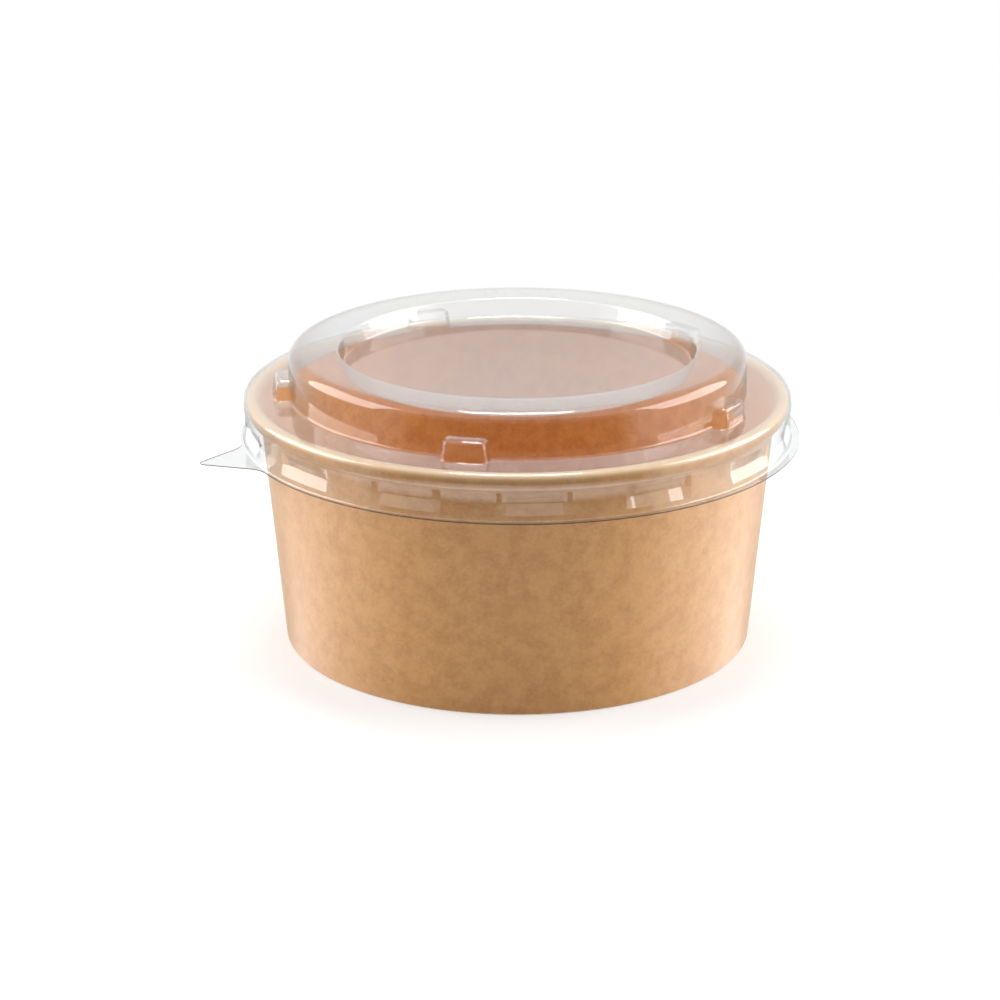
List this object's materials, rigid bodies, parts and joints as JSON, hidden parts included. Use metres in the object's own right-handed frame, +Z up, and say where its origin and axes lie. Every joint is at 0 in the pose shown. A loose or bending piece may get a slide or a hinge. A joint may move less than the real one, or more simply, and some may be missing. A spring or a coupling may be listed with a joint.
{
  "type": "paper bowl with lid",
  "caption": "Round kraft paper salad bowl with a rolled rim and recessed base, under a clear domed press-on lid with stacking lugs and a pull tab.",
  "frame": {"origin": "on the bowl's axis, in the plane its foot stands on", "axes": "+Z up along the bowl's axis; -Y is the pictured front; the lid's pull tab points towards -X, turned about 19 degrees towards the front"},
  "size_m": [0.1635, 0.1548, 0.0826],
  "materials": {
    "kraft_board": "smooth unbleached kraft board, mottled",
    "base_board": "smooth unbleached kraft board, mottled",
    "clear_sheet": "clear, glossy thermoformed sheet"
  },
  "bodies": {
    "bowl": {"bowl_wall": "kraft_board", "bowl_base": "base_board"},
    "lid": {"lid": "clear_sheet"}
  },
  "joints": [
    {"name": "lid_lift", "type": "slide", "parent": "bowl", "child": "lid", "axis": [0, 0, 1], "range_m": [0, 0.06]}
  ]
}
